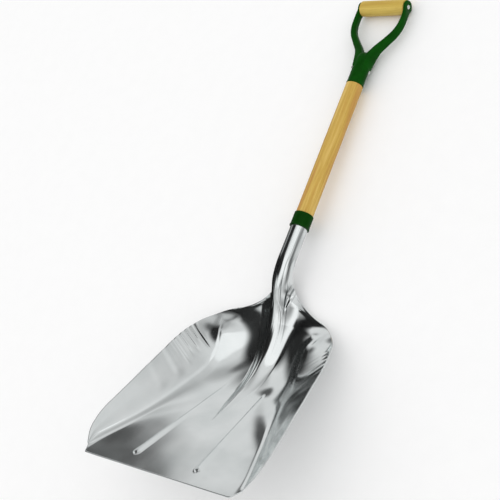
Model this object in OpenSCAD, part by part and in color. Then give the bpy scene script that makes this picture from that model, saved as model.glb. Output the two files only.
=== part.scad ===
// Grain scoop shovel: a stamped aluminium scoop, an ash shaft and a steel yoke with a wooden D-grip.
//
// The shovel is drawn in its working position: X across the scoop, Y from the cutting edge back
// along the floor, Z up, with the flat floor of the scoop on Z = 0 and the edge at Y = -edge_bow.
// lay_down() then tips it back on its heel and grip, which is how a scoop lies when it is put down.

/* [Scoop] */
// Length of the flat floor before the back starts to curve up
floor_len = 240; // [225:1:255]
// Inside radius of the curved back
back_r = 182; // [174:1:190]
// Thickness of the aluminium sheet
sheet_t = 2; // [1.6:0.1:2.4]
// How far the cutting edge stands in front of the origin
edge_bow = 6; // [2:1:12]
// Corner radius of the cutting edge
corner_r = 16; // [10:1:20]
// Bend radius between the floor and the side walls
crease_r = 9; // [6:0.5:11]
// Height of the two stiffening ribs at their front ends
rib_h = 3; // [1:0.5:4]
// Half width of a stiffening rib at its front end
rib_half_w = 8; // [6:0.5:9]

/* [Socket] */
// Outside diameter of the socket
socket_od = 34.4; // [34:0.1:34.8]
// Rise of the socket and shaft above the flat floor, in degrees
lift = 35.6; // [34:0.1:37]
// Bend radius where the socket runs into the back
socket_bend_r = 130; // [120:1:150]

/* [Shaft] */
// Diameter of the bare wood
shaft_d = 34.9; // [34.8:0.1:35.2]
// Diameter of the tenon inside the socket
tenon_d = 30; // [28:0.1:30.2]
// Length of the collar over the socket mouth
collar_len = 29; // [24:1:32]
// Wall of the collar
collar_wall = 1.7; // [1.4:0.1:2.4]
// Diameter of the rivet that holds the shaft in the socket
socket_rivet_d = 5; // [4:0.5:6]

/* [Yoke] */
// Outside diameter of the yoke socket
yoke_od = 34.8; // [34.6:0.1:36]
// Wall of the yoke socket
yoke_wall = 1.7; // [1.4:0.1:2]
// Diameter of the yoke rivet
yoke_rivet_d = 4.5; // [4:0.5:5]
// Turn of the yoke rivet about the shaft, its right head downwards
yoke_rivet_turn = 35; // [0:5:40]
// Diameter of the yoke rivet's head
yoke_head_d = 7; // [6.5:0.5:8]

/* [Grip] */
// Diameter of the wooden grip
grip_d = 32; // [31:0.5:33]
// Length of the wooden grip
grip_len = 106; // [100:1:106]
// Radius of the yoke's eyes
eye_r = 14.5; // [13:0.1:15.5]
// Thickness of each eye
eye_t = 4.5; // [4:0.1:6]
// Diameter of the grip pin
pin_d = 6; // [5:0.5:8]
// Diameter of the grip pin's heads
pin_head_d = 9; // [8:0.5:11]
// Side clearance between the pin and the grip's bore
pin_play = 0.06; // [0.02:0.01:0.09]

/* [Hidden] */
$fn = 64;

// Distances along the shaft's centre line, from where it would meet the floor
shaft_foot_y = 210.5;
bend_at = 298;
tenon_at = 302;
collar_at = 362;
socket_mouth = 388;
yoke_at = 683;
yoke_rivet_at = 720;
yoke_top = 747;
shaft_top = 744;
grip_at = 868.5;

// The scoop is lofted through 16 cross sections, from the cutting edge to the root of the socket.
// Each starts on the centre line, at this distance along the floor and up the back.
centre = [
    [-edge_bow], [40], [80], [120], [160], [200], [floor_len], [285],
    [330], [372], [402], [424], [437], [447], [457], [471]];

// Each then reaches the crease below the side wall: across, distance along the floor and back,
// height above it, and how sharply the floor turns up to it.
crease = [
    [186, 13, 1, 6], [178, 41, 1, 6], [162, 80, 1, 6], [146, 120, 2, 6],
    [131, 160, 5, 5], [117, 200, 10, 4], [105, 240, 15, 3.5], [97, 282, 18, 3],
    [96, 320, 25, 2.6], [102, 358, 31, 2.4], [108, 387, 24, 2.4], [105, 409, 10, 2.4],
    [78, 424, 2, 2.4], [53, 435, -2, 2.2], [34, 447, -4, 2], [24, 459, -7, 2]];

// Each ends on the rim, which runs up the side, round the shoulder and in to the neck.
rim = [
    [188, 16, 4], [200, 42, 17], [203, 80, 29], [199, 120, 37],
    [194, 160, 45], [190, 200, 53], [185, 240, 61], [181, 275, 68],
    [173, 308, 74], [160, 340, 77], [141, 362, 79], [119, 378, 83],
    [92, 389, 86], [66, 400, 92], [44, 410, 102], [30, 420, 114]];

// The crown is the hollow ridge that carries the socket down the back and onto the floor:
// distance along the floor and back, half width and height.
crown_rows = [
    [155, 0.1, 0], [205, 14, 3], [262, 23, 8], [320, 29, 13],
    [360, 38, 16], [402, 47, 18], [440, 47, 19], [480, 34, 19]];

// Stations of the closed socket above the last section: distance along the shaft and flare
socket_rows = [[248, 4], [262, 2.5], [280, 1.2], [298, 0.5], [328, 0], [358, 0], [socket_mouth, 0]];

rib_front = 24;
rib_back = 262;
rib_front_x = 75;
rib_back_x = 47;
rib_fade = 60;
rib_back_h = 1.5;
rib_back_half_w = 4;
rib_front_r = 8;
seam_gap = 0.6;

// The sheet is a grid: across_n steps from centre line to rim, sections_n along the scoop
crown_n = 6;
strip_n = 5;
bend_n = 3;
wall_n = 4;
half_n = crown_n + 2 + strip_n + bend_n + wall_n;
sections_n = 30;
sheet_rows = sections_n + 1 + len(socket_rows);
across = 2 * half_n + 1;

function mix(a, b, f) = a + (b - a) * f;
function unit(v) = v / norm(v);
function ramp(t) = let (c = max(0, min(1, t))) c * c * (3 - 2 * c);

// Smooth curve through rows, read at position q
function curve_at(rows, q) =
    let (n = len(rows) - 1)
    let (i = min(floor(q), n - 1))
    let (f = q - i)
    let (a = rows[max(i - 1, 0)], b = rows[i], c = rows[i + 1], d = rows[min(i + 2, n)])
    0.5 * (2 * b + (c - a) * f + (2 * a - 5 * b + 4 * c - d) * f * f + (3 * b - a - 3 * c + d) * f * f * f);

// A point x across, s along the floor and up the back, raised by h at right angles to it
function on_sheet(x, s, h) =
    let (turn = max(s - floor_len, 0) / back_r * 180 / PI)
    let (y = s < floor_len ? s : floor_len + back_r * sin(turn))
    let (z = s < floor_len ? 0 : back_r * (1 - cos(turn)))
    [x, y - h * sin(turn), z + h * cos(turn)];

function crown_size(s, column) = lookup(s, [for (row = crown_rows) [row[0], row[column]]]);
function crown_rise(x, s) = crown_size(s, 2) * ramp(1 - x / crown_size(s, 1));

// The ribs narrow and sink towards the back; a rib ends in a round nose at the front
function rib_at(s) = (s - rib_front) / (rib_back - rib_front);
function rib_x(s) = mix(rib_front_x, rib_back_x, rib_at(s));
function rib_w(s) = mix(rib_half_w, rib_back_half_w, rib_at(s));
function rib_rise(x, s) =
    let (nose = max(rib_front + rib_front_r - s, 0) / rib_front_r)
    let (off = min(norm([(x - rib_x(s)) / rib_w(s), nose]), 1))
    let (tail = 1 - ramp((s - rib_back) / rib_fade + 1))
    mix(rib_h, rib_back_h, rib_at(s)) * pow(cos(90 * off), 2) * tail;

// Distance along the floor at x across, in a section that starts at s0 and ends at crease k
function section_s(x, s0, k) =
    let (bow = mix(s0, k[1], pow(x / k[0], 2)))
    let (inset = max(0, min(1, (x - k[0] + corner_r) / corner_r)))
    let (round_front = s0 + (k[1] - s0) * (1 - sqrt(1 - inset * inset)))
    mix(round_front, bow, ramp((s0 + edge_bow) / 40));

function floor_point(x, s0, k) =
    let (s = section_s(x, s0, k))
    on_sheet(x, s, k[2] * pow(x / k[0], k[3]) + crown_rise(x, s) + rib_rise(x, s));

// Steps across the floor: the crown, one rib ridge, then the strip up to the bend
function floor_xs(s0, edge_x) =
    let (ridge = min(rib_x(max(s0, 0)), edge_x - 2 * rib_half_w))
    let (half_w = rib_w(min(max(s0, 0), rib_back)))
    let (inner = ridge - half_w, outer = ridge + half_w)
    concat(
        [for (i = [0 : crown_n - 1]) inner * i / crown_n],
        [inner, ridge],
        [for (i = [0 : strip_n]) mix(outer, edge_x, i / strip_n)]);

// Half of one cross section, from the centre line to the rim
function half_section(q) =
    let (s0 = curve_at(centre, q)[0], k = curve_at(crease, q), edge = curve_at(rim, q))
    let (bend = min(crease_r, k[0] / 4))
    let (corner = on_sheet(k[0], k[1], k[2]))
    let (wall = edge - corner)
    let (start = floor_point(k[0] - bend, s0, k))
    let (stop = corner + wall * min(0.35, bend / norm(wall)))
    concat(
        [for (x = floor_xs(s0, k[0] - bend)) floor_point(x, s0, k)],
        [for (i = [1 : bend_n])
            let (f = i / bend_n)
            start * pow(1 - f, 2) + corner * 2 * f * (1 - f) + stop * f * f],
        [for (i = [1 : wall_n]) mix(stop, edge, i / wall_n)]);

// Direction and centre of the socket at distance t along the shaft
function socket_angle(t) = lift + max(bend_at - t, 0) / socket_bend_r * 180 / PI;
function socket_centre(t) =
    let (line = function (d) [0, shaft_foot_y + d * cos(lift), d * sin(lift)])
    let (hub = line(bend_at) + socket_bend_r * [0, sin(lift), -cos(lift)])
    let (turn = socket_angle(t))
    t >= bend_at ? line(t) : hub + socket_bend_r * [0, -sin(turn), cos(turn)];

// Half of the rolled socket's section, from the top round to the seam below
function half_ring(row) =
    let (turn = socket_angle(row[0]), mid = socket_centre(row[0]), r = socket_od / 2)
    let (last = 180 - seam_gap / 2 / r * 180 / PI)
    [for (i = [0 : half_n])
        let (a = last * i / half_n)
        mid + [(r + row[1]) * sin(a), 0, 0] + r * cos(a) * [0, -sin(turn), cos(turn)]];

function mirrored(half) = concat(
    [for (i = [half_n : -1 : 1]) [-half[i][0], half[i][1], half[i][2]]],
    half);

function sheet_row(j) = mirrored(
    j <= sections_n
        ? half_section((len(rim) - 1) * j / sections_n)
        : half_ring(socket_rows[j - sections_n - 1]));

top_grid = [for (j = [0 : sheet_rows - 1]) sheet_row(j)];

function sheet_normal(i, j) =
    let (row = top_grid[j])
    let (over = row[min(i + 1, across - 1)] - row[max(i - 1, 0)])
    let (along = top_grid[min(j + 1, sheet_rows - 1)][i] - top_grid[max(j - 1, 0)][i])
    unit(cross(over, along));

under_grid = [for (j = [0 : sheet_rows - 1])
    [for (i = [0 : across - 1]) top_grid[j][i] - sheet_t * sheet_normal(i, j)]];

// Lay-down: tip back until the heel and the grip touch the ground
grip_mid = [shaft_foot_y + grip_at * cos(lift), grip_at * sin(lift)];
heel_rise = 2.6;
heel_r = back_r + sheet_t - heel_rise;
heel_to_grip = [grip_mid[0] - floor_len, grip_mid[1] - back_r];
tip = asin((heel_r - grip_d / 2) / norm(heel_to_grip)) + atan2(heel_to_grip[1], heel_to_grip[0]);

function tipped_y(y, z) = y * cos(tip) + z * sin(tip);
function tipped_z(y, z) = z * cos(tip) - y * sin(tip);
grip_low = tipped_z(grip_mid[0], grip_mid[1]) - grip_d / 2;
ground = min(grip_low, min([for (row = under_grid) for (p = row) tipped_z(p[1], p[2])]));
front = min([for (row = under_grid) for (p = row) tipped_y(p[1], p[2])]);
rear = tipped_y(grip_mid[0], grip_mid[1]) + grip_d / 2;

module lay_down() {
    translate([0, -(front + rear) / 2, -ground])
        rotate([-tip, 0, 0])
            children();
}

module along_shaft(t) {
    translate([0, shaft_foot_y, 0])
        rotate([lift - 90, 0, 0])
            translate([0, 0, t])
                children();
}

module across_shaft(t, len, d, turn = 0) {
    along_shaft(t)
        rotate([0, 90, turn])
            cylinder(h = len, d = d, center = true);
}

// One sheet: the top grid, the grid below it, and the strips that close its four edges
module sheet() {
    n = across * sheet_rows;
    top = [for (j = [0 : sheet_rows - 2]) for (i = [0 : across - 2])
        let (a = j * across + i)
        each [[a, a + across, a + across + 1], [a, a + across + 1, a + 1]]];
    under = [for (f = top) [f[0] + n, f[2] + n, f[1] + n]];
    ring = concat(
        [for (i = [0 : across - 2]) i],
        [for (j = [0 : sheet_rows - 2]) j * across + across - 1],
        [for (i = [across - 1 : -1 : 1]) (sheet_rows - 1) * across + i],
        [for (j = [sheet_rows - 1 : -1 : 1]) j * across]);
    edges = [for (k = [0 : len(ring) - 1])
        let (a = ring[k], b = ring[(k + 1) % len(ring)])
        each [[a, b, b + n], [a, b + n, a + n]]];
    polyhedron(
        points = concat([for (row = top_grid) each row], [for (row = under_grid) each row]),
        faces = concat(top, under, edges));
}

module scoop_blade() {
    color([0.80, 0.82, 0.82])
        lay_down()
            sheet();
}

// Turned ash: tenon in the socket, bare length, and the end inside the yoke
module shaft() {
    shoulder = socket_mouth + 0.5;
    head_r = yoke_od / 2 - yoke_wall - 0.05;
    color([0.82, 0.66, 0.40])
        lay_down()
            difference() {
                along_shaft(0)
                    rotate_extrude()
                        polygon([
                            [0, tenon_at], [tenon_d / 2 - 5, tenon_at], [tenon_d / 2, tenon_at + 12],
                            [tenon_d / 2, shoulder], [shaft_d / 2, shoulder],
                            [shaft_d / 2, yoke_at - 0.4], [head_r, yoke_at - 0.4],
                            [head_r, shaft_top - 3], [head_r - 3, shaft_top], [0, shaft_top]]);
                across_shaft(collar_at + collar_len / 2 - 2, shaft_d + 2, socket_rivet_d);
                across_shaft(yoke_rivet_at, shaft_d + 2, yoke_rivet_d, yoke_rivet_turn);
            }
}

// Painted collar, a little wider at its lower lip
module socket_collar() {
    inner = shaft_d / 2 + 0.1;
    color([0.04, 0.20, 0.02])
        lay_down()
            along_shaft(collar_at)
                rotate_extrude()
                    polygon([
                        [inner, 0], [inner + collar_wall + 0.8, 0], [inner + collar_wall + 0.8, 1.5],
                        [inner + collar_wall, 5], [inner + collar_wall, collar_len - 1],
                        [inner + collar_wall - 1, collar_len], [inner, collar_len]]);
}

// Flush rivet through the tenon; the collar covers its ends
module socket_rivet() {
    inner_wall = socket_od - 2 * sheet_t;
    color([0.7, 0.71, 0.72])
        lay_down()
            across_shaft(collar_at + collar_len / 2 - 2, inner_wall - 0.2, socket_rivet_d);
}

// One arm, from the socket to the eye: across, distance along the shaft, half thickness
arm_path = [
    [9, 738, 8], [22, 767, 9], [36, 785, 8], [49, 804, 7], [56, 823, 5.5], [57.5, 849, 4],
    [55.7, 866, 2.1]];

module arm_outline(inset, first, last) {
    steps = 18;
    rows = [for (i = [0 : steps]) curve_at(arm_path, (len(arm_path) - 1) * i / steps)];
    sides = [for (i = [0 : steps])
        let (run = rows[min(i + 1, steps)] - rows[max(i - 1, 0)])
        unit([run[1], -run[0]]) * (rows[i][2] - inset)];
    polygon(concat(
        [for (i = [first : last]) [rows[i][0], rows[i][1]] + sides[i]],
        [for (i = [last : -1 : first]) [rows[i][0], rows[i][1]] - sides[i]]));
}

// Both arms, or with an inset the hollow inside each
module arm_pair(depth, inset, first, last) {
    for (side = [0, 1])
        mirror([side, 0, 0])
            along_shaft(0)
                rotate([90, 0, 0])
                    linear_extrude(depth, center = true)
                        arm_outline(inset, first, last);
}

// Pressed steel yoke: a socket, two arms and an eye at the end of each
module yoke() {
    eye_x = grip_len / 2 + 0.4;
    arm_depth = 17;
    mouth_lip = 0.9;
    color([0.05, 0.30, 0.04])
        lay_down()
            difference() {
                union() {
                    along_shaft(yoke_at)
                        cylinder(h = yoke_top - yoke_at, d = yoke_od);
                    along_shaft(yoke_at)
                        cylinder(h = 4, d = yoke_od + 2 * mouth_lip);
                    along_shaft(yoke_top)
                        rotate_extrude()
                            polygon([
                                [0, 0], [yoke_od / 2, 0], [yoke_od / 2 - 4, 6],
                                [yoke_od / 2 - 10, 10], [0, 12]]);
                    arm_pair(arm_depth, 0, 0, 18);
                    for (side = [-1, 1])
                        along_shaft(grip_at)
                            translate([side * (eye_x + eye_t / 2), 0, 0])
                                rotate([0, 90, 0])
                                    cylinder(h = eye_t, r = eye_r, center = true);
                }
                arm_pair(arm_depth - 2 * yoke_wall, yoke_wall, 4, 13);
                along_shaft(yoke_at - 1)
                    cylinder(h = shaft_top - yoke_at + 2, d = yoke_od - 2 * yoke_wall);
                across_shaft(yoke_rivet_at, 2 * yoke_od, yoke_rivet_d, yoke_rivet_turn);
                across_shaft(grip_at, 2 * eye_x, grip_d + 3);
                across_shaft(grip_at, 4 * eye_x, pin_d);
            }
}

module dome_head(d, h) {
    rotate_extrude()
        intersection() {
            translate([0, h - (d * d / 4 + h * h) / (2 * h)])
                circle(r = (d * d / 4 + h * h) / (2 * h));
            square([d / 2, h]);
        }
}

// Rivet with a domed head on each side of its length
module headed_pin(len, d, head_d, head_h) {
    rotate([0, 90, 0])
        cylinder(h = len, d = d, center = true);
    for (side = [-1, 1])
        translate([side * len / 2, 0, 0])
            rotate([0, side * 90, 0])
                dome_head(head_d, head_h);
}

module yoke_rivet() {
    color([0.80, 0.80, 0.78])
        lay_down()
            along_shaft(yoke_rivet_at)
                rotate([0, 0, yoke_rivet_turn])
                    headed_pin(yoke_od, yoke_rivet_d, yoke_head_d, 2.4);
}

// Turned wooden grip that spins on its pin
module grip() {
    chamfer = 1.5;
    bore_r = pin_d / 2 + pin_play;
    color([0.82, 0.66, 0.40])
        lay_down()
            along_shaft(grip_at)
                rotate([0, 90, 0])
                    rotate_extrude()
                        polygon([
                            [bore_r, -grip_len / 2], [grip_d / 2 - chamfer, -grip_len / 2],
                            [grip_d / 2, chamfer - grip_len / 2], [grip_d / 2, grip_len / 2 - chamfer],
                            [grip_d / 2 - chamfer, grip_len / 2], [bore_r, grip_len / 2]]);
}

module grip_pin() {
    over_eyes = grip_len + 2 * (0.4 + eye_t);
    color([0.80, 0.80, 0.78])
        lay_down()
            along_shaft(grip_at)
                headed_pin(over_eyes, pin_d, pin_head_d, 2.2);
}

scoop_blade();
shaft();
socket_collar();
socket_rivet();
yoke();
yoke_rivet();
grip();
grip_pin();
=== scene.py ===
"""Looks of the grain scoop shovel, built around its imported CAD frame."""

import math

import bpy
import numpy as np
from mathutils import Matrix, Vector, noise


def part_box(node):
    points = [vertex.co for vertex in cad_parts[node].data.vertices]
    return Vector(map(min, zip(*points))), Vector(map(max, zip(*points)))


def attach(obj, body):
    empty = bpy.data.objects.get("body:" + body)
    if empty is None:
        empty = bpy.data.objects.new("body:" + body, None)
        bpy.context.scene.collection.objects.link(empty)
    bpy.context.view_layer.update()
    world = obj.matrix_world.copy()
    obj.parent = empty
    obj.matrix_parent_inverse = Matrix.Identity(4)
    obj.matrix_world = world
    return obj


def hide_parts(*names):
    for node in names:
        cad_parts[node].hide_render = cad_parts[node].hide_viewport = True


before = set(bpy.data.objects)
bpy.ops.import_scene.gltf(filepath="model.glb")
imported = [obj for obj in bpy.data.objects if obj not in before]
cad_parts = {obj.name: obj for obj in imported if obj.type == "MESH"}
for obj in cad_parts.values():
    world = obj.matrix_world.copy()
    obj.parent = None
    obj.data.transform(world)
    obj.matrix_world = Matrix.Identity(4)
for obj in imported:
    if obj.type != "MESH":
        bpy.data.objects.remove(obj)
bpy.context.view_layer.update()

MM = 0.001

# The shovel is drawn in its working position, in millimetres: X across the scoop, Y from the
# cutting edge back along the floor, Z up. lay_down() then puts it on its heel and grip, where
# the CAD parts are.
LIFT = math.radians(35.6)
SHAFT_FOOT_Y = 210.5
GRIP_AT = 868.5
TIP = math.radians(38.2955)
grip_low, grip_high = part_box("grip")
GRIP_MID = (grip_low + grip_high) / 2 / MM
GRIP_Y = SHAFT_FOOT_Y + GRIP_AT * math.cos(LIFT)
GRIP_Z = GRIP_AT * math.sin(LIFT)
LAY_Y = GRIP_MID.y - (GRIP_Y * math.cos(TIP) + GRIP_Z * math.sin(TIP))
LAY_Z = GRIP_MID.z - (GRIP_Z * math.cos(TIP) - GRIP_Y * math.sin(TIP))


def lay_down(points):
    """Working position in millimetres to the frame's metres."""
    p = np.asarray(points, float)
    y = p[..., 1] * math.cos(TIP) + p[..., 2] * math.sin(TIP) + LAY_Y
    z = p[..., 2] * math.cos(TIP) - p[..., 1] * math.sin(TIP) + LAY_Z
    return np.stack([p[..., 0], y, z], axis=-1) * MM


def ramp(t):
    c = np.clip(t, 0.0, 1.0)
    return c * c * (3 - 2 * c)


def bump(t):
    """1 at 0, falling smoothly to 0 at -1 and 1."""
    return np.cos(np.pi / 2 * np.clip(t, -1, 1)) ** 2


def unit(v):
    return v / np.linalg.norm(v, axis=-1, keepdims=True)


def curve_at(rows, q):
    """Smooth curve through rows, read at position q."""
    n = len(rows) - 1
    i = min(int(q), n - 1)
    f = q - i
    a, b, c, d = rows[max(i - 1, 0)], rows[i], rows[i + 1], rows[min(i + 2, n)]
    return 0.5 * (2 * b + (c - a) * f + (2 * a - 5 * b + 4 * c - d) * f**2
                  + (3 * b - a - 3 * c + d) * f**3)


def make_piece(name, verts, faces, smooth=True):
    mesh = bpy.data.meshes.new(name)
    mesh.from_pydata(verts.tolist(), [], [list(f) for f in faces])
    mesh.update()
    mesh.polygons.foreach_set("use_smooth", [smooth] * len(mesh.polygons))
    piece = bpy.data.objects.new(name, mesh)
    bpy.context.scene.collection.objects.link(piece)
    return piece


# ---------------------------------------------------------------- scoop
FLOOR_LEN = 240.0
BACK_R = 182.0
SHEET_T = 2.0
EDGE_BOW = 6.0
CORNER_R = 16.0
CREASE_R = 9.0
SOCKET_OD = 34.4
BEND_AT = 298.0
SOCKET_BEND_R = 130.0
SOCKET_MOUTH = 388.0

# Cross sections from the cutting edge to the root of the socket, as in the CAD: where each one
# starts along the centre line, its crease (across, along, height, power) and its rim. Rim rows 3
# to 11 and the across values of crease rows 2 to 5 are the output of a scratch script that
# rebuilt these lines from points read off the photo, rounded to a millimetre.
CENTRE = np.array([[-EDGE_BOW], [40], [80], [120], [160], [200], [FLOOR_LEN], [285],
                   [330], [372], [402], [424], [437], [447], [457], [471]], float)
CREASE = np.array([
    [186, 13, 1, 6], [178, 41, 1, 6], [162, 80, 1, 6], [146, 120, 2, 6],
    [131, 160, 5, 5], [117, 200, 10, 4], [105, 240, 15, 3.5], [97, 282, 18, 3],
    [96, 320, 25, 2.6], [102, 358, 31, 2.4], [108, 387, 24, 2.4], [105, 409, 10, 2.4],
    [78, 424, 2, 2.4], [53, 435, -2, 2.2], [34, 447, -4, 2], [24, 459, -7, 2]], float)
RIM = np.array([
    [188, 16, 4], [200, 42, 17], [203, 80, 29], [199, 120, 37],
    [194, 160, 45], [190, 200, 53], [185, 240, 61], [181, 275, 68],
    [173, 308, 74], [160, 340, 77], [141, 362, 79], [119, 378, 83],
    [92, 389, 86], [66, 400, 92], [44, 410, 102], [30, 420, 114]], float)

# The hollow ridge that runs from the socket onto the floor: along, half width, height. Half
# widths 23 and 29 come from a scratch script too, rounded.
CROWN = np.array([
    [155, 0.1, 0], [205, 14, 3], [262, 23, 8], [320, 29, 13],
    [360, 38, 16], [402, 47, 18], [440, 47, 19], [480, 34, 19]], float)
# Rolled socket: distance along the shaft and flare
SOCKET = np.array([[248, 4], [262, 2.5], [280, 1.2], [298, 0.5], [328, 0], [358, 0],
                   [SOCKET_MOUTH, 0]], float)
SEAM_GAP = 0.6

# The two stiffening ribs: along, across, half width and height
RIB = np.array([[24, 75, 8.5, 4.2], [90, 67, 7.5, 3.6], [180, 56.5, 5.5, 2.8],
                [262, 47, 4, 1.8]], float)
RIB_FRONT_R = 8.0
RIB_FADE = 60.0

# Section at which the crease reaches the rim and opens out, over how many sections it does, and
# how much the bend's radius grows
SHOULDER = 9.2
OPENING = 2.0
OPEN_EXTRA_R = 16
# The bend takes at most this share of the wall, with the second added once it is open, and at
# most the half floor divided by BEND_PART
WALL_SHARE = 0.35
OPEN_WALL_SHARE = 0.6
BEND_PART = 3.4
# Distance over which the rounded front corners give way to the bowed sections
FRONT_FADE = 40
# How far the sheet's rounded edge bulges out, as a share of its thickness
EDGE_ROUND = 0.4

# Strips of the half sheet across the floor, the bend and the wall, then rows along the scoop,
# the neck and the socket
STRIP_N, BEND_N, WALL_N = 96, 14, 40
HALF_N = STRIP_N + BEND_N + WALL_N
SECTION_N = 260
NECK_N = 26
SOCKET_N = 90
# Rows on each side of the neck that are eased, and how many times
NECK_REACH = 62
NECK_EASE = 260


def on_sheet(x, s, h):
    """Point x across, s along the floor and up the back, raised by h square to the sheet."""
    turn = np.maximum(s - FLOOR_LEN, 0) / BACK_R
    y = np.where(s < FLOOR_LEN, s, FLOOR_LEN + BACK_R * np.sin(turn))
    z = np.where(s < FLOOR_LEN, 0, BACK_R * (1 - np.cos(turn)))
    return np.stack([x + 0 * s, y - h * np.sin(turn), z + h * np.cos(turn)], axis=-1)


def crown_rise(x, s):
    width = np.interp(s, CROWN[:, 0], CROWN[:, 1])
    height = np.interp(s, CROWN[:, 0], CROWN[:, 2])
    return height * ramp(1 - x / width)


def rib_rise(x, s):
    line, half, height = (np.interp(s, RIB[:, 0], RIB[:, i]) for i in (1, 2, 3))
    ahead = np.maximum(RIB[0, 0] + RIB_FRONT_R - s, 0) / RIB_FRONT_R
    off = np.hypot((x - line) / half, ahead)
    return height * bump(off) * (1 - ramp((s - RIB[-1, 0]) / RIB_FADE + 1))


def floor_points(x, s0, k):
    bow = s0 + (k[1] - s0) * (x / k[0]) ** 2
    inset = np.clip((x - k[0] + CORNER_R) / CORNER_R, 0, 1)
    round_front = s0 + (k[1] - s0) * (1 - np.sqrt(1 - inset**2))
    s = round_front + (bow - round_front) * ramp((s0 + EDGE_BOW) / FRONT_FADE)
    return on_sheet(x, s, k[2] * (x / k[0]) ** k[3] + crown_rise(x, s) + rib_rise(x, s))


def half_section(q):
    """Half of one cross section of the scoop, from the centre line to the rim."""
    s0, k, edge = curve_at(CENTRE, q)[0], curve_at(CREASE, q), curve_at(RIM, q)
    open_up = ramp((q - SHOULDER) / OPENING)
    bend = min(CREASE_R + OPEN_EXTRA_R * open_up, k[0] / BEND_PART)
    corner = on_sheet(k[0], np.array(k[1]), k[2])
    wall = edge - corner
    floor = floor_points(np.linspace(0, k[0] - bend, STRIP_N + 1), s0, k)
    share = min(WALL_SHARE + OPEN_WALL_SHARE * open_up, bend / np.linalg.norm(wall))
    stop = corner + wall * share
    f = (np.arange(1, BEND_N + 1) / BEND_N)[:, None]
    turn = floor[-1] * (1 - f) ** 2 + corner * 2 * f * (1 - f) + stop * f * f
    g = (np.arange(1, WALL_N + 1) / WALL_N)[:, None]
    return np.vstack([floor, turn, stop + (edge - stop) * g])


def socket_frame(t):
    """Centre and lean of the socket at distance t along the shaft."""
    along = np.array([0, math.cos(LIFT), math.sin(LIFT)])
    up = np.array([0, -math.sin(LIFT), math.cos(LIFT)])
    foot = np.array([0, SHAFT_FOOT_Y, 0])
    if t >= BEND_AT:
        return foot + t * along, LIFT
    hub = foot + BEND_AT * along - SOCKET_BEND_R * up
    lean = LIFT + (BEND_AT - t) / SOCKET_BEND_R
    return hub + SOCKET_BEND_R * np.array([0, -math.sin(lean), math.cos(lean)]), lean


def half_ring(t, flare):
    mid, lean = socket_frame(t)
    r = SOCKET_OD / 2
    a = (math.pi - SEAM_GAP / 2 / r) * np.arange(HALF_N + 1) / HALF_N
    up = np.array([0, -math.sin(lean), math.cos(lean)])
    across = np.array([1.0, 0, 0])
    return mid + np.outer((r + flare) * np.sin(a), across) + np.outer(r * np.cos(a), up)


def scoop_grid():
    """Points of the upper face, row by row from the cutting edge to the socket mouth."""
    last = len(RIM) - 1
    rows = [half_section(last * j / SECTION_N) for j in range(SECTION_N + 1)]
    root, first = rows[-1], half_ring(SOCKET[0, 0], SOCKET[0, 1])
    rows += [root + (first - root) * j / NECK_N for j in range(1, NECK_N)]
    for j in range(SOCKET_N + 1):
        rows.append(half_ring(*curve_at(SOCKET, (len(SOCKET) - 1) * j / SOCKET_N)))
    half = ease_neck(np.array(rows))
    left = half[:, :0:-1] * [-1, 1, 1]
    return np.concatenate([left, half], axis=1)


def ease_neck(half):
    """Draw the sheet smoothly through the neck, where the scoop turns into the socket."""
    rows = np.arange(len(half))
    hold = bump((rows - SECTION_N - NECK_N / 2) / NECK_REACH)[1:-1, None, None]
    for _ in range(NECK_EASE):
        half[1:-1] += hold * ((half[:-2] + half[2:]) / 2 - half[1:-1])
    return half


def grid_normals(grid):
    return unit(np.cross(np.gradient(grid, axis=1), np.gradient(grid, axis=0)))


# Draw marks in the side wall near the shoulder: section where each meets the rim, half width
# in sections, height, and how far down the wall it reaches (1 rim, 0 crease)
WRINKLES = (
    (8.43, 0.085, -0.85, 0.05), (8.6, 0.12, 0.5, 0.2), (8.13, 0.07, -0.9, 0.4),
    (8.27, 0.07, 0.4, 0.3), (7.78, 0.08, -0.9, 0.25), (7.92, 0.08, 0.5, 0.3),
    (7.38, 0.09, -1.0, 0.3), (7.55, 0.1, 0.6, 0.35), (6.98, 0.09, -1.0, 0.2),
    (7.14, 0.1, 0.6, 0.3), (6.78, 0.08, -0.45, 0.5), (6.3, 0.35, -1.1, 0.1),
    (5.3, 0.4, -0.7, 0.1))
WRINKLE_LEAN = 0.85
WRINKLE_FADE = 0.3
# How strong these marks are on the left and on the right wall
LEFT_MARKS, RIGHT_MARKS = 1.0, 0.12


def wrinkles(q, w):
    total = np.zeros_like(w * q)
    for at, half, height, reach in WRINKLES:
        across = (q - at + WRINKLE_LEAN * (1 - w)) / half
        total += height * bump(across) * ramp((w - reach) / WRINKLE_FADE)
    return total


# The step along the crease: height, and the columns over which it rises and falls again
STEP_H = 0.7
STEP_RISE = 4
STEP_FALL = 22


def crease_step(q, c):
    """Small step pressed in just above the crease, c columns out from the bend."""
    rise = ramp((c + STEP_RISE / 2) / STEP_RISE)
    fall = 1 - ramp((c - STEP_RISE / 2) / STEP_FALL)
    return STEP_H * rise * fall * (1 - ramp(q - SHOULDER))


# Folds where the web runs up into the neck: first and last section, distance across at each
# end, half width at each end, depth, and how fast they fade in and out
FOLD_FROM, FOLD_TO = 11.2, 15.0
FOLD_X = (19.0, 24.0)
FOLD_HALF_W = (2.0, 6.5)
FOLD_DEPTH = 2.6
FOLD_FADES = (2, 5)


def neck_folds(q, x):
    up = np.clip((q - FOLD_FROM) / (FOLD_TO - FOLD_FROM), 0, 1)
    middle = FOLD_X[0] + (FOLD_X[1] - FOLD_X[0]) * up
    half_w = FOLD_HALF_W[0] + (FOLD_HALF_W[1] - FOLD_HALF_W[0]) * up
    dent = -FOLD_DEPTH * bump((np.abs(x) - middle) / half_w)
    return dent * ramp(up * FOLD_FADES[0]) * ramp((1 - up) * FOLD_FADES[1])


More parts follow.
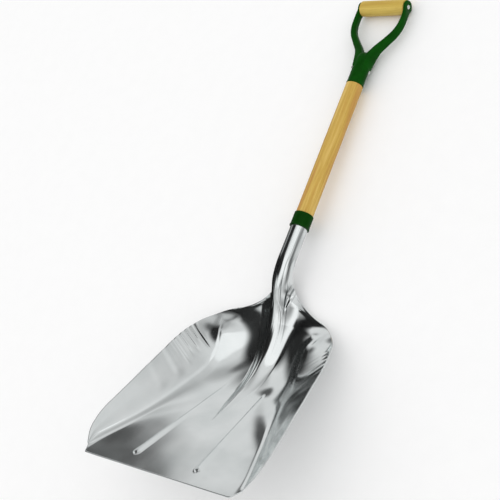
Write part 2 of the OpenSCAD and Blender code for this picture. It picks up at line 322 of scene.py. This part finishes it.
# Drawing grooves along the crown and socket: place across as a share of the half crown, half
# width, and height before GROOVE_GAIN. The crown takes CROWN_SHARE of the floor's strips. They
# are strongest GROOVE_AHEAD rows before the root and reach GROOVE_REACH rows from there.
GROOVES = ((-0.16, 0.03, -0.16), (-0.05, 0.03, 0.12), (0.08, 0.03, -0.2), (0.18, 0.04, 0.16),
           (0.3, 0.03, -0.16), (0.41, 0.05, 0.12))
CROWN_SHARE = 0.6
GROOVE_AHEAD = 35
GROOVE_REACH = 95.0
GROOVE_GAIN = 1.8


def grooves(share, row):
    total = np.zeros_like(share * row)
    for at, half, height in GROOVES:
        total += height * bump((share - at) / half)
    return total * bump((row - SECTION_N + GROOVE_AHEAD) / GROOVE_REACH) * GROOVE_GAIN


def wave(points, size, seed):
    """Smooth unevenness, about 1 high, with lumps of the given size in millimetres."""
    shift = Vector((seed, 0, 0))
    flat = points.reshape(-1, 3) / size
    return np.array([noise.noise(Vector(p) + shift) for p in flat]).reshape(points.shape[:-1])


# Slow unevenness of the sheet: height, size of the lumps and seed. It fades out over BODY_FADE
# rows, starting BODY_AHEAD rows before the root.
WAVES = ((0.5, 110.0, 3), (0.12, 45.0, 11))
BODY_AHEAD = 70
BODY_FADE = 60


def pressing_marks(grid):
    """Height of every mark that rolling and pressing leave in the sheet."""
    rows, cols = grid.shape[:2]
    row = np.arange(rows)[:, None]
    q = np.minimum(row * (len(RIM) - 1) / SECTION_N, len(RIM) - 1)
    signed = np.arange(cols) - HALF_N
    c = np.abs(signed)[None, :] - STRIP_N - BEND_N
    side = np.where(signed < 0, LEFT_MARKS, RIGHT_MARKS)[None, :]
    body = 1 - ramp((row - SECTION_N + BODY_AHEAD) / BODY_FADE)
    marks = side * wrinkles(q, np.clip(c / WALL_N, 0, 1)) + crease_step(q, c)
    marks += neck_folds(q, grid[..., 0])
    marks += grooves(signed[None, :] / (STRIP_N * CROWN_SHARE), row)
    uneven = sum(height * wave(grid, size, seed) for height, size, seed in WAVES)
    return marks + body * uneven


def scoop():
    base = scoop_grid()
    top = base + grid_normals(base) * pressing_marks(base)[..., None]
    normal = grid_normals(top)
    under = top - SHEET_T * normal
    rows, cols = top.shape[:2]
    n = rows * cols
    idx = np.arange(n).reshape(rows, cols)
    quads = np.stack([idx[:-1, :-1], idx[:-1, 1:], idx[1:, 1:], idx[1:, :-1]], axis=-1)
    quads = quads.reshape(-1, 4)
    ring = np.concatenate([idx[0, :-1], idx[:-1, -1], idx[-1, :0:-1], idx[:0:-1, 0]])
    edge_top, edge_under = top.reshape(-1, 3)[ring], under.reshape(-1, 3)[ring]
    run = np.roll(edge_top, -1, axis=0) - np.roll(edge_top, 1, axis=0)
    out = unit(np.cross(run, normal.reshape(-1, 3)[ring]))
    edge = (edge_top + edge_under) / 2 + out * SHEET_T * EDGE_ROUND
    m = np.arange(len(ring))
    after = np.roll(m, -1)
    over = np.stack([ring, 2 * n + m, 2 * n + after, ring[after]], axis=-1)
    below = np.stack([2 * n + m, n + ring, n + ring[after], 2 * n + after], axis=-1)
    verts = np.vstack([top.reshape(-1, 3), under.reshape(-1, 3), edge])
    faces = np.vstack([quads, quads[:, ::-1] + n, over, below])
    return make_piece("scoop_sheet", lay_down(verts), faces)


# ---------------------------------------------------------------- yoke
# Pieces round the shaft are drawn as (across, up, distance along the shaft)
YOKE_AT = 683.0
BORE_R = 15.75
BORE_END = 744.0
GRIP_GAP_R = 17.5
EYE_INSIDE = 53.4
EYE_T = 4.5
EYE_R = 14.4
PIN_R = 3.05

# Socket outline from the mouth to the closed end: radius, distance along the shaft
YOKE_SOCKET = ((0, 683), (17.9, 683), (18.3, 683.8), (18.2, 685.5), (17.6, 687.5), (17.4, 690),
               (17.4, 732), (17.2, 742), (15, 750), (10, 756), (0, 759))
# One arm from the socket to its eye: across, along the shaft, half width, half depth
ARM = np.array([(7, 724, 9.5, 16.5), (12, 745, 9, 15), (21, 766, 8, 11), (35.5, 785, 7.2, 9.4),
                (49, 804, 6.6, 9), (55.8, 823, 5.8, 8.8), (57.2, 847, 4.2, 9.8),
                (55.8, 864, 2.3, 12.5)], float)
# Rows and corners of an arm's skin, and how square its section is (1 is an ellipse)
ARM_STEPS = 60
ARM_SIDES = 36
ARM_ROUND = 0.72
VOXEL = 1.0
YOKE_SMOOTH = 12
# How far a bore starts before the mouth, and the least radius of a turned ring
BORE_LEAD = 3
LEAST_R = 0.01


def to_shaft(points):
    """(across, up, along the shaft) to the frame's metres."""
    p = np.asarray(points, float)
    y = SHAFT_FOOT_Y + p[..., 2] * math.cos(LIFT) - p[..., 1] * math.sin(LIFT)
    z = p[..., 2] * math.sin(LIFT) + p[..., 1] * math.cos(LIFT)
    return lay_down(np.stack([p[..., 0], y, z], axis=-1))


def tube(rings):
    """Closed skin over rings of points, capped at both ends."""
    rings = np.asarray(rings, float)
    rows, cols = rings.shape[:2]
    idx = np.arange(rows * cols).reshape(rows, cols)
    nxt = np.roll(idx, -1, axis=1)
    sides = np.stack([idx[:-1], nxt[:-1], nxt[1:], idx[1:]], axis=-1).reshape(-1, 4).tolist()
    return rings.reshape(-1, 3), sides + [idx[0, ::-1].tolist(), idx[-1].tolist()]


def turned(outline, steps=72):
    """Rings of an outline of (radius, height) turned about the third axis."""
    a = np.arange(steps) * 2 * math.pi / steps
    rings = [(max(r, LEAST_R), h) for r, h in outline]
    return [np.stack([r * np.cos(a), r * np.sin(a), h + 0 * a], axis=-1) for r, h in rings]


def crosswise(rings, at):
    """Turned rings laid across the shaft, at a distance along it."""
    r = np.asarray(rings, float)
    return np.stack([r[..., 2], r[..., 0], r[..., 1] + at], axis=-1)


def arm_rings(side):
    a = np.arange(ARM_SIDES) * 2 * math.pi / ARM_SIDES
    c = np.sign(np.cos(a)) * np.abs(np.cos(a)) ** ARM_ROUND
    d = np.sign(np.sin(a)) * np.abs(np.sin(a)) ** ARM_ROUND
    rows = np.array([curve_at(ARM, (len(ARM) - 1) * i / ARM_STEPS) for i in range(ARM_STEPS + 1)])
    run = unit(np.gradient(rows[:, :2], axis=0))
    rings = []
    for (x, t, half_w, depth), (rx, rt) in zip(rows, run):
        rings.append(np.stack([side * (x + c * half_w * rt), d * depth,
                               t - c * half_w * rx], axis=-1))
    return rings[::side]


def join(name, skins):
    verts, faces = [], []
    for points, polys in skins:
        faces += [[i + len(verts) for i in poly] for poly in polys]
        verts += points.tolist()
    return make_piece(name, to_shaft(verts), faces)


def modified(piece, kind, **values):
    """Apply one modifier to a piece."""
    step = piece.modifiers.new(kind, kind)
    for key, value in values.items():
        setattr(step, key, value)
    graph = bpy.context.evaluated_depsgraph_get()
    mesh = bpy.data.meshes.new_from_object(piece.evaluated_get(graph))
    piece.modifiers.clear()
    piece.data = mesh
    mesh.polygons.foreach_set("use_smooth", [True] * len(mesh.polygons))


def cut(piece, cutter):
    modified(piece, "BOOLEAN", object=cutter, operation="DIFFERENCE", solver="EXACT")
    bpy.data.objects.remove(cutter)


def eye(side):
    mid, half, soft = side * (EYE_INSIDE + EYE_T / 2), EYE_T / 2, 1.2
    outline = ((0, -half), (EYE_R - soft, -half), (EYE_R, -half + soft), (EYE_R, half - soft),
               (EYE_R - soft, half), (0, half))
    return tube(crosswise(turned([(r, mid + h) for r, h in outline]), GRIP_AT))


def yoke():
    """Pressed steel: socket, arms and eyes as one skin, then bored for shaft, grip and pin."""
    skins = [tube(turned(YOKE_SOCKET))] + [tube(arm_rings(side)) for side in (1, -1)]
    skins += [eye(side) for side in (1, -1)]
    piece = join("yoke_steel", skins)
    modified(piece, "REMESH", mode="VOXEL", voxel_size=VOXEL * MM)
    modified(piece, "SMOOTH", factor=0.5, iterations=YOKE_SMOOTH)
    cut(piece, join("bore", [tube(turned([(BORE_R, YOKE_AT - BORE_LEAD), (BORE_R, BORE_END)]))]))
    gap = [(GRIP_GAP_R, -EYE_INSIDE), (GRIP_GAP_R, EYE_INSIDE)]
    cut(piece, join("gap", [tube(crosswise(turned(gap), GRIP_AT))]))
    pin = [(PIN_R, -2 * EYE_INSIDE), (PIN_R, 2 * EYE_INSIDE)]
    cut(piece, join("pin", [tube(crosswise(turned(pin), GRIP_AT))]))
    return piece


# ---------------------------------------------------------------- materials
class Graph:
    """Short hand for adding nodes to one node tree."""

    def __init__(self, tree):
        self.nodes, self.links = tree.nodes, tree.links

    def feed(self, socket, value):
        if isinstance(value, bpy.types.NodeSocket):
            self.links.new(value, socket)
        else:
            socket.default_value = value

    def math(self, operation, *values):
        node = self.nodes.new("ShaderNodeMath")
        node.operation = operation
        for socket, value in zip(node.inputs, values):
            self.feed(socket, value)
        return node.outputs[0]

    def dot(self, vector, axis):
        node = self.nodes.new("ShaderNodeVectorMath")
        node.operation = "DOT_PRODUCT"
        self.feed(node.inputs[0], vector)
        node.inputs[1].default_value = axis
        return node.outputs["Value"]

    def fade(self, value, start, stop, low, high):
        node = self.nodes.new("ShaderNodeMapRange")
        node.interpolation_type = "SMOOTHSTEP"
        for socket, item in zip(node.inputs, (value, start, stop, low, high)):
            self.feed(socket, item)
        return node.outputs[0]

    def place(self, turn=(0, 0, 0), scale=(1, 1, 1)):
        """Object coordinates in metres, turned and then scaled."""
        coords = self.nodes.new("ShaderNodeTexCoord").outputs["Object"]
        rotate = self.nodes.new("ShaderNodeVectorRotate")
        rotate.rotation_type = "EULER_XYZ"
        rotate.inputs["Rotation"].default_value = turn
        self.feed(rotate.inputs["Vector"], coords)
        stretch = self.nodes.new("ShaderNodeVectorMath")
        stretch.operation = "MULTIPLY"
        self.feed(stretch.inputs[0], rotate.outputs[0])
        stretch.inputs[1].default_value = scale
        return stretch.outputs[0]

    def noise(self, vector, detail=2.0, rough=0.5, distortion=0.0):
        node = self.nodes.new("ShaderNodeTexNoise")
        node.inputs["Scale"].default_value = 1.0
        node.inputs["Detail"].default_value = detail
        node.inputs["Roughness"].default_value = rough
        node.inputs["Distortion"].default_value = distortion
        self.feed(node.inputs["Vector"], vector)
        return node.outputs["Fac"]

    def colours(self, value, *stops):
        node = self.nodes.new("ShaderNodeValToRGB")
        self.feed(node.inputs[0], value)
        band = node.color_ramp.elements
        while len(band) < len(stops):
            band.new(0.5)
        for element, (at, colour) in zip(band, stops):
            element.position = at
            element.color = (*colour, 1)
        return node.outputs[0]

    def blend(self, how, amount, first, second):
        node = self.nodes.new("ShaderNodeMix")
        node.data_type = "RGBA"
        node.blend_type = how
        self.feed(node.inputs[0], amount)
        self.feed(node.inputs[6], first)
        self.feed(node.inputs[7], second)
        return node.outputs[2]

    def bump(self, height, distance, strength=1.0):
        node = self.nodes.new("ShaderNodeBump")
        node.inputs["Strength"].default_value = strength
        node.inputs["Distance"].default_value = distance
        self.feed(node.inputs["Height"], height)
        return node.outputs[0]


def principled(name, **values):
    """A new material: its node graph, its shader's inputs and itself."""
    mat = bpy.data.materials.new(name)
    mat.use_nodes = True
    g = Graph(mat.node_tree)
    inputs = g.nodes["Principled BSDF"].inputs
    for key, value in values.items():
        inputs[key.replace("_", " ")].default_value = value
    return g, inputs, mat


# Where near-black streaks are painted into the metal's colour at the neck, as painted reflection of
# dark surroundings: fade in and fade out along the shovel, and fade across it, in metres
PAINTED_STREAKS_FROM = (-0.25, -0.16)
PAINTED_STREAKS_TO = (-0.10, -0.03)
PAINTED_STREAKS_HALF_W = (0.018, 0.034)


def aluminium():
    """Rolled sheet: soft smudges, fine scratches along the scoop, painted dark reflection streaks at
    the neck.
    """
    g, inputs, mat = principled("rolled_aluminium", Metallic=1.0)
    smudge = g.noise(g.place(scale=(14, 14, 14)), detail=3)
    scratch = g.noise(g.place(turn=(0.5, 0, 0), scale=(900, 26, 300)), detail=2)
    tone = g.colours(smudge, (0.3, (0.80, 0.84, 0.84)), (0.7, (0.90, 0.93, 0.93)))
    # Painted reflection: near-black streaks in the base colour along the neck, in place of dark
    # reflections
    lines = g.noise(g.place(scale=(330, 9, 9)), detail=2, rough=0.6)
    painted_dark_streaks = g.colours(lines, (0.36, (0.16, 0.18, 0.18)), (0.48, (1, 1, 1)))
    along = g.dot(g.place(), (0, 1, 0))
    across = g.math("ABSOLUTE", g.dot(g.place(), (1, 0, 0)))
    starts, ends = g.fade(along, *PAINTED_STREAKS_FROM, 0.0, 1.0), g.fade(along, *PAINTED_STREAKS_TO, 1.0, 0.3)
    painted_streak_mask = g.math("MULTIPLY", starts, ends)
    painted_streak_mask = g.math("MULTIPLY", painted_streak_mask, g.fade(across, *PAINTED_STREAKS_HALF_W, 1.0, 0.0))
    g.feed(inputs["Base Color"], g.blend("MULTIPLY", painted_streak_mask, tone, painted_dark_streaks))
    g.feed(inputs["Roughness"], g.fade(smudge, 0.3, 0.7, 0.13, 0.08))
    g.feed(inputs["Normal"], g.bump(scratch, 0.00001))
    return mat


def wood(name, turn, light, mid, dark):
    """Straight-grained ash under a thin varnish; turn lays the grain along the piece."""
    g, inputs, mat = principled(name, Specular_IOR_Level=0.22)
    bands = g.noise(g.place(turn, (70, 3.2, 70)), detail=2, distortion=0.6)
    fibres = g.noise(g.place(turn, (420, 14, 420)), detail=4, rough=0.65)
    pores = g.noise(g.place(turn, (1500, 60, 1500)), detail=1)
    tone = g.colours(bands, (0.32, dark), (0.48, mid), (0.62, light))
    streak = g.colours(fibres, (0.35, (0.80, 0.74, 0.66)), (0.62, (1, 1, 1)))
    pore = g.colours(pores, (0.28, (0.72, 0.62, 0.5)), (0.4, (1, 1, 1)))
    grain = g.blend("MULTIPLY", 0.55, tone, streak)
    g.feed(inputs["Base Color"], g.blend("MULTIPLY", 0.5, grain, pore))
    g.feed(inputs["Roughness"], g.fade(fibres, 0.3, 0.7, 0.52, 0.38))
    g.feed(inputs["Normal"], g.bump(fibres, 0.00012))
    return mat


def enamel(name, colour, deep):
    """Dipped green paint: slight colour drift and orange peel."""
    g, inputs, mat = principled(name, Specular_IOR_Level=0.05)
    drift = g.noise(g.place(scale=(45, 45, 45)), detail=3)
    peel = g.noise(g.place(scale=(650, 650, 650)), detail=2)
    g.feed(inputs["Base Color"], g.colours(drift, (0.35, deep), (0.65, colour)))
    g.feed(inputs["Roughness"], g.fade(drift, 0.3, 0.7, 0.30, 0.42))
    g.feed(inputs["Normal"], g.bump(peel, 0.00008))
    return mat


def rivet_steel():
    g, inputs, mat = principled("bright_steel", Metallic=1.0)
    marks = g.noise(g.place(scale=(900, 900, 900)), detail=3)
    g.feed(inputs["Base Color"], g.colours(marks, (0.3, (0.72, 0.72, 0.7)), (0.7, (0.9, 0.9, 0.88))))
    g.feed(inputs["Roughness"], g.fade(marks, 0.3, 0.7, 0.22, 0.34))
    g.feed(inputs["Normal"], g.bump(marks, 0.00004))
    return mat


def floor_paper():
    g, inputs, mat = principled("pale_floor", Roughness=0.9, Specular_IOR_Level=0.2)
    fleck = g.noise(g.place(scale=(30, 30, 30)), detail=2)
    tone = g.colours(fleck, (0.3, (0.97, 0.97, 0.97)), (0.7, (0.98, 0.98, 0.98)))
    g.feed(inputs["Base Color"], tone)
    return mat


def dress(node, mat):
    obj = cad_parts[node]
    obj.data.materials.clear()
    obj.data.materials.append(mat)


# ---------------------------------------------------------------- camera and studio
# Solved by least squares, from points read off the photo and a few guesses
CAM_AT = Vector((1.36965, -0.60694, 1.68666))
CAM_AZIMUTH = math.radians(69.302)
CAM_ELEVATION = math.radians(46.351)
CAM_ROLL = math.radians(-54.809)
CAM_LENS = 83.41

# Dark flags around the studio, seen only in the metal: azimuth from +X and elevation of the
# middle, half width and half height, tilt, all in degrees, then softness and strength. The last
# has a negative strength, so it brightens. They began as a least-squares fit to the photo's
# brightness: rows 4, 5, 7 and 12 are its output rounded (row 12 with a new strength), rows 1, 2,
# 6 and 9 are its output changed, and rows 3, 8, 10 and 11 were added.
FLAGS = (
    (187, 5, 28, 40, 0, 0.2, 0.98),
    (162, 56, 21, 29, 0, 0.2, 0.98),
    (127, 47, 9, 8, 0, 0.6, 0.75),
    (-40, 60, 8, 15, 90, 0.9, 0.6),
    (5, 5, 30, 15, -40, 0.7, 0.65),
    (137, 8, 5, 5, 0, 0.35, 0.9),
    (133, 30, 5, 13, -10, 0.9, 0.8),
    (160, -20, 9, 7, 0, 0.5, 0.9),
    (108, 44, 20, 15, 0, 0.7, 0.38),
    (100, -9, 24, 14, 0, 0.5, 0.85),
    (170, -28, 14, 8, 0, 0.5, 0.9),
    (0, 73, 22, 45, 27, 0.1, -0.36),
)
STUDIO_LEVEL = 0.71
# Added to a direction's reach on the far side of the world, so that a flag has no twin there
FAR_SIDE = 9.0
FLOOR_HALF = 25.0


def camera():
    a, e = CAM_AZIMUTH, CAM_ELEVATION
    back = Vector((math.sin(a) * math.cos(e), -math.cos(a) * math.cos(e), math.sin(e)))
    right = Vector((0, 0, 1)).cross(back).normalized()
    turn = Matrix.Rotation(CAM_ROLL, 3, back)
    axes = Matrix((turn @ right, turn @ back.cross(right), back)).transposed()
    data = bpy.data.cameras.new("camera")
    data.sensor_width = 36.0
    data.lens = CAM_LENS
    cam = bpy.data.objects.new("camera", data)
    cam.matrix_world = Matrix.LocRotScale(CAM_AT, axes.to_quaternion(), None)
    bpy.context.scene.collection.objects.link(cam)
    bpy.context.scene.camera = cam


def flag_light(g, direction, flag):
    """How much light one flag lets through in a direction."""
    az, el, tilt = (math.radians(flag[i]) for i in (0, 1, 4))
    middle = Vector((math.cos(el) * math.cos(az), math.cos(el) * math.sin(az), math.sin(el)))
    side = Vector((-math.sin(az), math.cos(az), 0))
    rise = middle.cross(side)
    across = (side * math.cos(tilt) + rise * math.sin(tilt)) / math.sin(math.radians(flag[2]))
    along = (rise * math.cos(tilt) - side * math.sin(tilt)) / math.sin(math.radians(flag[3]))
    u, v = g.dot(direction, across), g.dot(direction, along)
    reach = g.math("SQRT", g.math("ADD", g.math("MULTIPLY", u, u), g.math("MULTIPLY", v, v)))
    behind = g.math("LESS_THAN", g.dot(direction, middle), 0.0)
    reach = g.math("ADD", reach, g.math("MULTIPLY", behind, FAR_SIDE))
    return g.fade(reach, 1 - flag[5], 1 + flag[5], 1 - flag[6], 1.0)


def studio_world():
    world = bpy.data.worlds.new("studio")
    bpy.context.scene.world = world
    world.use_nodes = True
    g = Graph(world.node_tree)
    direction = g.nodes.new("ShaderNodeTexCoord").outputs["Generated"]
    level = STUDIO_LEVEL
    for flag in FLAGS:
        level = g.math("MULTIPLY", level, flag_light(g, direction, flag))
    path = g.nodes.new("ShaderNodeLightPath")
    seen = g.nodes.new("ShaderNodeMix")
    seen.data_type = "FLOAT"
    g.feed(seen.inputs[0], path.outputs["Is Glossy Ray"])
    seen.inputs[2].default_value = 1.0
    g.feed(seen.inputs[3], level)
    back = g.nodes["Background"]
    g.feed(back.inputs["Strength"], seen.outputs[0])
    back.inputs["Color"].default_value = (1, 1, 1, 1)


def studio_floor():
    half = FLOOR_HALF
    corners = np.array([(-half, -half, 0), (half, -half, 0), (half, half, 0), (-half, half, 0)])
    floor = make_piece("floor", corners, [(0, 1, 2, 3)], smooth=False)
    floor.data.materials.append(floor_paper())
    floor.visible_glossy = False


camera()
studio_world()
studio_floor()
bpy.context.scene.view_settings.view_transform = "Standard"

sheet = scoop()
sheet.data.materials.append(aluminium())
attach(sheet, "shovel")
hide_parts("scoop_blade")

LEAN_ON_FLOOR = TIP - LIFT
shaft_wood = wood("ash_shaft", (LEAN_ON_FLOOR, 0, 0), (0.72, 0.50, 0.14), (0.60, 0.39, 0.08),
                  (0.55, 0.28, 0.075))
grip_wood = wood("ash_grip", (0, 0, math.pi / 2), (0.68, 0.50, 0.115), (0.60, 0.42, 0.08),
                 (0.53, 0.33, 0.06))
green = enamel("green_enamel", (0.0028, 0.070, 0.0020), (0.0022, 0.048, 0.0014))
collar_green = enamel("collar_enamel", (0.0030, 0.048, 0.0016), (0.0022, 0.034, 0.0010))
steel = rivet_steel()
dress("shaft", shaft_wood)
dress("grip", grip_wood)
yoke_steel = yoke()
yoke_steel.data.materials.append(green)
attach(yoke_steel, "shovel")
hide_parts("yoke")
dress("socket_collar", collar_green)
for node in ("yoke_rivet", "grip_pin", "socket_rivet"):
    dress(node, steel)

bpy.context.view_layer.update()
